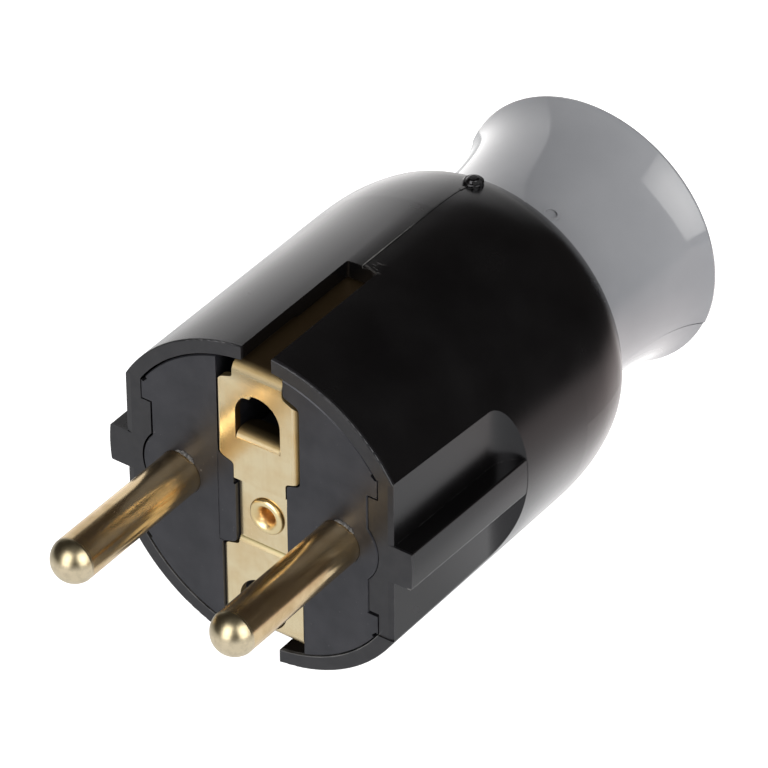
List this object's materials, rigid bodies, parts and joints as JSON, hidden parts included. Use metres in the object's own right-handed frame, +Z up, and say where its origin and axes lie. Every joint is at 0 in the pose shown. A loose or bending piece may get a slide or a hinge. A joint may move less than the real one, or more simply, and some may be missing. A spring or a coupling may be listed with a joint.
{
  "type": "electrical plug",
  "caption": "Straight rewirable mains plug with round brass contact pins, side earth clips, an earth-pin hole in its face and a flared cord gland behind a domed housing.",
  "frame": {"origin": "on the front face, midway between the two contact pins, on the plug's axis", "axes": "+X along the line through the pins, +Y rearward along the plug's axis (the pins point to -Y), +Z up towards the earth-pin hole"},
  "size_m": [0.0368, 0.0758, 0.0368],
  "materials": {
    "housing_black": "glossy black moulded plastic",
    "insert_black": "matte black moulded plastic",
    "pin_brass": "turned and polished brass",
    "strip_brass": "rolled brass strip, satin",
    "eyelet_brass": "bright brass",
    "screw_steel": "zinc-plated steel",
    "collet_plastic": "grey nylon",
    "tail_grey": "glossy grey moulded plastic"
  },
  "bodies": {
    "root": {"housing": "housing_black", "insert": "insert_black", "left_pin": "pin_brass", "right_pin": "pin_brass", "earth_strip": "strip_brass", "earth_eyelet": "eyelet_brass", "earth_terminal": "strip_brass", "earth_clamp_washer": "screw_steel", "earth_terminal_screw": "screw_steel", "left_terminal_screw": "screw_steel", "right_terminal_screw": "screw_steel", "fixing_screw": "screw_steel", "clamp_collet": "collet_plastic", "gland_nut": "tail_grey"}
  },
  "joints": []
}
